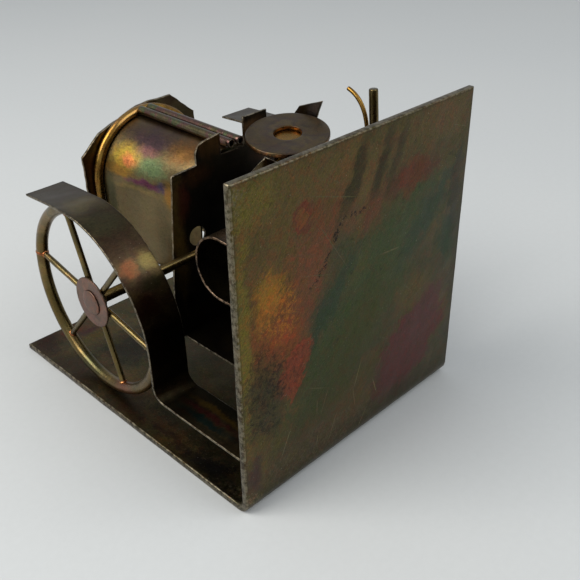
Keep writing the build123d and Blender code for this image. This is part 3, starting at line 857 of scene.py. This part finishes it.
def makeWheel(side, sign):
    low, high = boxOf(side + "_wheel_rim")
    centre = (low + high) / 2
    body = side + "_wheel"
    outer = (high[2] - low[2]) / 2
    ringRadius = outer - wheel["rod"]
    seam = math.radians(wheel["first"])
    turn = np.linspace(0, 2 * math.pi, 240, endpoint=False)
    path = centre + ringRadius * np.stack([0 * turn, np.cos(turn), np.sin(turn)], -1)
    path[:, 0] += ripple(path, 60, 0.12, 31)
    fromSeam = np.abs((turn - seam + math.pi) % (2 * math.pi) - math.pi) * ringRadius
    radius = wheel["rod"] - 0.35 * np.exp(-(fromSeam / 0.45) ** 2) + ripple(path, 7, 0.03, 32) - 0.03
    points, shells = tube(path, radius, (1, 0, 0), 32, True)
    ringShade = np.zeros(len(points))
    makePiece(side + "Rim", [(points, shells, ringShade)], body, rimMetal, [side + "_wheel_rim"])
    spokes, braze = [], []
    for number in range(wheel["spokes"]):
        angle = seam + number * 2 * math.pi / wheel["spokes"]
        way = np.array([0, math.cos(angle), math.sin(angle)])
        spokes.append(rod(centre + way * (wheel["bush"] - 0.3),
                          centre + way * (ringRadius - wheel["rod"] + 0.5),
                          wheel["spoke"], edge=0.1, seed=40 + number, ring=20))
        braze.append(lump(centre + way * (ringRadius - wheel["rod"] + 0.1), (1.45, 1.45, 0.9), 50 + number,
                          along=way))
    makePiece(side + "Spokes", spokes, body, rodMetal, [side + "_wheel_spokes"])
    braze.append(lump(centre + ringRadius * np.array([0, math.cos(seam), math.sin(seam)]), (2.35, 2.35, 1.3),
                      57,
                      along=(0, -math.sin(seam), math.cos(seam))))
    makePiece(side + "WheelBraze", braze, body, brazeMetal)
    bushProfile = [(wheel["bore"], -2.1), (wheel["bore"] + 0.1, -2.2), (wheel["bush"] - 0.2, -2.2),
                   (wheel["bush"], -2.0),
                   (wheel["bush"], 1.0), (wheel["bore"], 1.0)]
    makePiece(side + "HubBush", [turned(bushProfile, centre, (sign, 0, 0), 48, True)], body, rodMetal,
              [side + "_hub_bush"])
    face, back, rim = wheel["spoke"] + wheel["discThick"], wheel["spoke"] + 0.05, wheel["disc"]
    discProfile = [(wheel["bore"], back), (rim - 0.15, back), (rim, back + 0.15), (rim, face - 0.2),
                   (rim - 0.06, face - 0.06),
                   (rim - 0.25, face), (rim - 0.8, face)]
    discProfile += [(r, face) for r in np.linspace(rim - 1.6, wheel["bore"] + 0.1, 9)]
    discProfile += [(wheel["bore"], face - 0.1)]
    part = turned(discProfile, centre, (sign, 0, 0), 72, True, 0.05, 61)
    fromAxis = np.linalg.norm((part[0] - centre)[:, 1:], axis=1)
    shade = np.exp(-np.abs(fromAxis - rim) / 0.3)
    makePiece(side + "HubDisc", [(part[0], part[1], shade)], body, copperMetal,
              [side + "_hub_disc"])


for side, sign in sides.items():
    makeWheel(side, sign)


def makeAxle():
    low, high = boxOf("axle")
    centre = (low + high) / 2
    radius = (high[2] - low[2]) / 2
    makePiece("axleRod", [rod((low[0], centre[1], centre[2]), (high[0], centre[1], centre[2]), radius,
                              (0, 1, 0), 0.2)],
              "car", rodMetal, ["axle"])
    for side, sign in sides.items():
        lowCap, highCap = boxOf(side + "_axle_cap")
        middle = (lowCap + highCap) / 2
        size, tall = (highCap[2] - lowCap[2]) / 2, highCap[0] - lowCap[0]
        across = np.linspace(0, 1, 12)
        profile = [(0, -tall / 2), (size - 0.2, -tall / 2), (size, -tall / 2 + 0.15)]
        profile += [(size * math.cos(a) ** 0.55,
                     -tall / 2 + 0.15 + (tall - 0.15) * math.sin(a)) for a in across[1:-1] * math.pi / 2]
        profile += [(0, tall / 2)]
        makePiece(side + "AxleCap", [turned(profile, middle, (sign, 0, 0), 48)], "car", copperMetal,
                  [side + "_axle_cap"])


makeAxle()
print("wheels and axle made")


front = {"archRod": 1.7, "archRadius": 22.1, "archCentre": 68.8, "tube": 1.5, "tubeBore": 0.95,
         "hoodRearRadius": 15.1, "hole": (16.9, 63.0), "holeRadius": 3.3}
radiatorOutline = [(-20, 40), (20, 40), (25.6, 50), (26.4, 79.4), (18.6, 86.2), (6.0, 90.6), (1.0, 92.0),
                   (-4.0, 92.4),
                   (-14.2, 92.4), (-24.6, 83.6), (-25.2, 50)]
firewallOutline = [(-30, 27.2), (30, 27.2), (25.2, 86.6), (15.2, 87.4), (15.2, 91.4), (14.2, 93.4),
                   (11.8, 94.4), (4.8, 95.4),
                   (4.8, 88.2), (-5.4, 88.2), (-5.4, 98.0), (-16.0, 98.0), (-16.0, 87.4), (-25.2, 86.6)]
wingOutline = [(6.8, 80), (6.8, 85.6), (11.6, 95.9), (13.7, 98.5), (24.1, 102.5), (21.7, 96.5), (17, 87),
               (12, 80)]


def circlePoints(centre, radius, count):
    turn = np.linspace(0, 2 * math.pi, count, endpoint=False)
    return np.stack([centre[0] + radius * np.cos(turn), centre[1] + radius * np.sin(turn)], -1)


def makeFront():
    low, high = boxOf("radiator")
    y = (low[1] + high[1]) / 2
    place = flatPlace((0, y, 0), (1, 0, 0), (0, 0, 1))
    makePiece("radiatorPlate", [sheetPlate(radiatorOutline, place, high[1] - low[1], 0.25, bow=0.15,
                                           rough=0.2)], "car",
              radiatorMetal, ["radiator"])
    low, high = boxOf("firewall")
    y = (low[1] + high[1]) / 2
    place = flatPlace((0, y, 0), (1, 0, 0), (0, 0, 1))
    hole = circlePoints(front["hole"], front["holeRadius"], 40)
    # the firewall's near-black film is partly painted shade
    makePiece("firewallPlate", [sheetPlate(firewallOutline, place, high[1] - low[1], 0.2, [hole], bow=0.1)],
              "car",
              darkPatinaAndShadeMetal, ["firewall"])
    low, high = boxOf("cowl_wing")
    place = flatPlace(((low[0] + high[0]) / 2, 0, 0), (0, 1, 0), (0, 0, 1))
    makePiece("cowlWing", [sheetPlate(wingOutline, place, high[0] - low[0], 0.2, cell=1.5)], "car",
              wingMetal,
              ["cowl_wing"])
    low, high = boxOf("floor")
    outline = [(low[0], low[1]), (high[0], low[1]), (high[0], high[1]), (low[0], high[1])]
    place = flatPlace((0, 0, (low[2] + high[2]) / 2), (1, 0, 0), (0, 1, 0))
    # the floor board takes the same near-black film, partly painted shade
    makePiece("floorBoard", [sheetPlate(outline, place, high[2] - low[2], 0.2, bow=0.1)], "car", darkPatinaAndShadeMetal,
              ["floor"])

    low, high = boxOf("hood_arch")
    y, foot = (low[1] + high[1]) / 2, low[2]
    r, top = front["archRadius"], front["archCentre"]
    bend = bentLine([("line", (r, foot), (r, top)), ("arc", (0, top), r, 0, 180),
                     ("line", (-r, top), (-r, foot))], cell=0.8)
    path = np.stack([bend[:, 0], np.full(len(bend), y), bend[:, 1]], -1)
    makePiece("hoodArch", [rod(None, None, front["archRod"], (0, 1, 0), seed=71, bend=path)], "car",
              brassMetal,
              ["hood_arch"])

    low, high = boxOf("hood")
    half, edge = 0.4, 0.2
    r, foot = high[0] - half, low[2] + edge
    bend = bentLine([("line", (r, foot), (r, top)), ("arc", (0, top), r, 0, 180),
                     ("line", (-r, top), (-r, foot))])
    along = spread(high[1] - low[1] - 2 * edge, 1.2) + low[1] + edge
    # the half circle keeps its crown and shrinks in a straight line from the front radius to the rear one
    share = (along - low[1]) / (high[1] - low[1])
    radius = (r + (front["hoodRearRadius"] - half - r) * share)[None]
    centre = top + r - radius
    acrossBend, upBend = bend[:, :1], bend[:, 1:]
    middle = np.empty((len(bend), len(along), 3))
    middle[..., 0], middle[..., 1] = acrossBend / r * radius, along[None]
    middle[..., 2] = np.where(upBend > top, centre + (upBend - top) / r * radius,
                              foot + (upBend - foot) * (centre - foot) / (top - foot))
    middle += unit((middle - (0, 0, top)) * (1, 0, 1)) * (ripple(middle, 26, 0.18, 73) - 0.15)[..., None]
    makePiece("hoodSheet", [sheetGrid(middle, 0.8, edge)], "car", hoodMetal, ["hood"])

    for side in sides:
        low, high = boxOf(side + "_hinge_tube")
        centre = (low + high) / 2
        outer, bore, tall = front["tube"], front["tubeBore"], (high[1] - low[1]) / 2
        profile = [(outer, h) for h in np.linspace(-tall + 0.15, tall - 0.15, 40)]
        profile += [(outer - 0.12, tall), (bore + 0.1, tall), (bore, tall - 0.12)]
        profile += [(bore, h) for h in np.linspace(tall - 1, -tall + 1, 12)]
        profile += [(bore, -tall + 0.12), (bore + 0.1, -tall), (outer - 0.12, -tall)]
        part = turned(profile, centre, (0, 1, 0), 32, True)
        shade = np.exp(-(tall - np.abs(part[0][:, 1] - centre[1])) / 0.4)
        makePiece(side + "HingeTube", [(part[0], part[1], shade)], "car", tubeMetal,
                  [side + "_hinge_tube"])
        low, high = boxOf(side + "_chassis_rail")
        centre = (low + high) / 2
        makePiece(side + "ChassisRail", [rod((centre[0], low[1], centre[2]), (centre[0], high[1], centre[2]),
                                             (high[2] - low[2]) / 2, seed=76)], "car", rodMetal,
                  [side + "_chassis_rail"])
    low, high = boxOf("cross_rod")
    centre = (low + high) / 2
    makePiece("crossRod", [rod((low[0], centre[1], centre[2]), (high[0], centre[1], centre[2]),
                               (high[2] - low[2]) / 2,
                               (0, 1, 0), seed=77)], "car", rodMetal, ["cross_rod"])


makeFront()
print("hood, radiator and firewall made")


seat = {"thick": 0.8, "centre": (27.4, 61.7), "radius": 11.2, "fold": (22.2, 45.9), "edge": 0.2}


def foldPlace(fold, leftWay, rightWay, soften=1.2):
    # a sheet folded along an upright line: x < 0 runs along leftWay, x > 0 along rightWay, and the corner
    # between them is eased by adding up a heading that turns smoothly over the distance soften
    leftAngle, rightAngle = (math.atan2(w[1], w[0]) for w in (-np.array(leftWay), np.array(rightWay)))
    stations = np.linspace(-14, 20, 1200)
    heading = leftAngle + (rightAngle - leftAngle) * (0.5 + 0.5 * np.tanh(stations / soften))
    step = stations[1] - stations[0]
    path = np.stack([np.cumsum(np.cos(heading)), np.cumsum(np.sin(heading))], -1) * step
    path -= path[np.argmin(np.abs(stations))]
    path += np.asarray(fold)

    def place(flat):
        angle = np.interp(flat[:, 0], stations, heading)
        points = np.stack([np.interp(flat[:, 0], stations, path[:, 0]),
                           np.interp(flat[:, 0], stations, path[:, 1]),
                           flat[:, 1]], -1)
        return points, np.stack([np.sin(angle), -np.cos(angle), 0 * angle], -1)
    return place


def makeSeat():
    low, high = boxOf("seat_cushion")
    half, edge = seat["thick"] / 2, seat["edge"]
    centre, radius = np.array(seat["centre"]), seat["radius"] - half
    line = bentLine([("line", (high[1] - edge, low[2] + half), (centre[0], low[2] + half)),
                     ("arc", centre, radius, 270, 90),
                     ("line", (centre[0], high[2] - half), (54 - edge, 70.5))])
    across = spread(high[0] - low[0] - 2 * edge, 1.6) + low[0] + edge
    middle = np.empty((len(line), len(across), 3))
    middle[..., 0] = across[None]
    middle[..., 1:] = line[:, None]
    middle[..., 2] += ripple(middle, 24, 0.15, 81) * (middle[..., 2] > low[2] + 3)
    makePiece("seatCushion", [sheetGrid(middle, seat["thick"], edge)], "car", cushionMetal,
              ["seat_cushion"])

    outline = [(-11, 73.6), (17, 73.6), (17, 90), (9, 97.5), (0.2, 103.4), (-5.4, 97.0), (-11, 84)]
    place = foldPlace(seat["fold"], (0.35, -0.94), (-1.0, 0.12))
    parts = [sheetPlate(outline, place, seat["thick"], 0.2, cell=1.5, rough=0.12, seed=83)]
    tab = flatPlace((seat["fold"][0], seat["fold"][1], 0), (0.224, 0.975, 0), (0, 0, 1))
    reach = (boxOf("stand")[1][1] - 2.3 - seat["fold"][1]) / 0.975
    parts.append(sheetPlate([(0.3, 86), (reach, 88), (reach, 94), (0.3, 96)], tab, seat["thick"], 0.2,
                            cell=1.5, seed=85))
    makePiece("seatBack", parts, "car", seatBackMetal, ["seat_back"])


makeSeat()
print("seat made")


steering = {"centre": (-10.0, 22.65, 95.4), "normal": (0.12, 0.08, 1.0), "radius": 13.6, "hole": 4.6,
            "thick": 1.5,
            "flange": 6.5, "flangeThick": 0.8, "column": 1.6, "foot": (-13.0, 6.8, 66.0)}


def makeSteering():
    up = unit(steering["normal"])
    centre = np.array(steering["centre"])
    rim, hole, thick = steering["radius"], steering["hole"], steering["thick"]
    profile = [(hole, -0.2), (hole + 0.07, -0.06), (hole + 0.25, 0), (hole + 0.8, 0)]
    profile += [(r, 0.0) for r in np.linspace(hole + 1.5, rim - 1.5, 12)]
    profile += [(rim - 0.7, 0), (rim - 0.3, 0), (rim - 0.08, -0.08), (rim, -0.3), (rim, -thick + 0.3),
                (rim - 0.08, -thick + 0.08), (rim - 0.3, -thick), (rim - 0.8, -thick)]
    profile += [(r, -thick) for r in np.linspace(rim - 1.5, hole + 0.5, 8)] + [(hole, -thick + 0.2)]
    part = turned(profile, centre, up, 96, True, 0.04, 91)
    away = part[0] - centre
    height = away @ up
    fromAxis = np.linalg.norm(away - height[:, None] * up, axis=1)
    shade = np.maximum(np.exp(-(rim - fromAxis) / 0.25), np.exp(-(fromAxis - hole) / 0.25))
    makePiece("steeringWasher", [(part[0], part[1], shade)], "car", washerMetal,
              ["steering_wheel"])

    flange, tall = steering["flange"], steering["flangeThick"]
    top = centre - up * thick
    profile = [(0, -0.02)] + [(r, -0.02) for r in np.linspace(0.8, flange - 0.3, 8)]
    profile += [(flange - 0.08, -0.08), (flange, -0.3), (flange, -tall + 0.2), (flange - 0.2, -tall),
                (2.0, -tall), (0, -tall)]
    parts = [turned(profile, top, up, 48)]
    foot = np.array(steering["foot"])
    parts.append(rod(top - up * (tall - 0.1), foot, steering["column"], (1, 0, 0), 0.15, seed=92))
    makePiece("steeringColumn", parts, "car", brassMetal, ["steering_column"])


def makeLevers():
    low, high = boxOf("brake_lever")
    x, r = (low[0] + high[0]) / 2, (high[0] - low[0]) / 2
    makePiece("brakeLever", [rod((x, 39.7, low[2]), (x, 33.8, 105.4), r, edge=0.5, seed=93)], "car",
              rodMetal,
              ["brake_lever"])
    low, high = boxOf("gear_lever")
    x, r = (low[0] + high[0]) / 2, (high[0] - low[0]) / 2
    t = np.linspace(0, 1, 60)
    a, b, c, d = (np.array(p) for p in ((31.8, 90.0), (31.35, 96.5), (28.6, 101.6), (22.9, 103.2)))
    curl = (a * (1 - t[:, None]) ** 3 + 3 * b * t[:, None] * (1 - t[:, None]) ** 2
            + 3 * c * t[:, None] ** 2 * (1 - t[:, None]) + d * t[:, None] ** 3)
    stem = np.linspace((34.4, low[2]), (31.8, 90.0), 80)[:-1]
    line = np.concatenate([stem, curl])
    path = np.concatenate([np.full((len(line), 1), x), line], 1)
    makePiece("gearLever", [rod(None, None, r, edge=0.25, seed=94, bend=path, ring=20)], "car", brassMetal,
              ["gear_lever"])


makeSteering()
makeLevers()
print("steering and levers made")


studio = {"sky": (0.86, 0.90, 0.94), "skyPower": 0.55,
          "lamps": [((0.65, -0.25, 0.75), 0.6, 9.0, (1.0, 0.98, 0.95)),
                    ((-0.3, 0.8, 0.9), 0.9, 6.0, (0.97, 0.98, 1.0))]}
view = {"place": (0.164855, 0.198535, 0.188473), "azimuth": 44.809, "elevation": 31.468, "roll": -0.954,
        "lens": 50.73}


def makeStudio():
    net = Net("tableTop")
    point = net.node("ShaderNodeTexCoord", None, None, "Object")
    cloud = net.noise(point, 3.0, 3.0, 0.5)
    fine = net.noise(point, 400.0, 3.0, 0.6)
    colour = net.scaled(net.mix(cloud, colour4("bcbfbf"), colour4("c4c5c3")), 1.0 + (fine - 0.5) * 0.06)
    bump = net.node("ShaderNodeBump", None, {"Strength": 0.06, "Distance": 0.0005, "Height": fine})
    shader = net.node("ShaderNodeBsdfPrincipled", None, {"Base Color": colour, "Roughness": 0.6,
                                                         "Normal": bump})
    net.node("ShaderNodeOutputMaterial", None, {"Surface": shader})
    x, y = np.meshgrid(np.linspace(-3, 3, 40), np.linspace(-3, 3, 40), indexing="ij")
    mesh = bpy.data.meshes.new("table")
    mesh.from_pydata(np.stack([x.ravel(), y.ravel(), 0 * x.ravel()], -1).tolist(), [],
                     gridFaces(40, 40).tolist())
    mesh.materials.append(net.material)
    table = bpy.data.objects.new("table", mesh)
    bpy.context.scene.collection.objects.link(table)

    world = bpy.data.worlds.new("studioAir")
    world.use_nodes = True
    world.node_tree.nodes["Background"].inputs[0].default_value = studio["sky"] + (1.0,)
    world.node_tree.nodes["Background"].inputs[1].default_value = studio["skyPower"]
    bpy.context.scene.world = world
    for number, (place, size, power, colour) in enumerate(studio["lamps"]):
        lamp = bpy.data.lights.new("softLamp%d" % number, "AREA")
        lamp.energy, lamp.size, lamp.color = power, size, colour
        holder = bpy.data.objects.new("softLamp%d" % number, lamp)
        away = unit(np.array(place) - np.array((0, 0, 0.05)))
        first = unit(np.cross((0, 0, 1), away))
        second = np.cross(away, first)
        rows = [[first[k], second[k], away[k], place[k]] for k in range(3)]
        holder.matrix_world = Matrix(rows + [[0, 0, 0, 1]])
        bpy.context.scene.collection.objects.link(holder)


def makeCamera():
    a, e, roll = (math.radians(view[k]) for k in ("azimuth", "elevation", "roll"))
    ahead = np.array([-math.cos(e) * math.sin(a), -math.cos(e) * math.cos(a), -math.sin(e)])
    level = unit(np.cross(ahead, (0, 0, 1)))
    upright = np.cross(level, ahead)
    right = math.cos(roll) * level + math.sin(roll) * upright
    up = -math.sin(roll) * level + math.cos(roll) * upright
    camera = bpy.data.cameras.new("camera")
    camera.sensor_width, camera.lens, camera.clip_start = 36.0, view["lens"], 0.01
    holder = bpy.data.objects.new("camera", camera)
    holder.matrix_world = Matrix([[right[k], up[k], -ahead[k], view["place"][k]] for k in range(3)] + [[0, 0,
                                                                                                        0,
                                                                                                        1]])
    bpy.context.scene.collection.objects.link(holder)
    bpy.context.scene.camera = holder


makeStudio()
makeCamera()
bpy.context.scene.view_settings.view_transform = "Standard"
print("light and camera made")
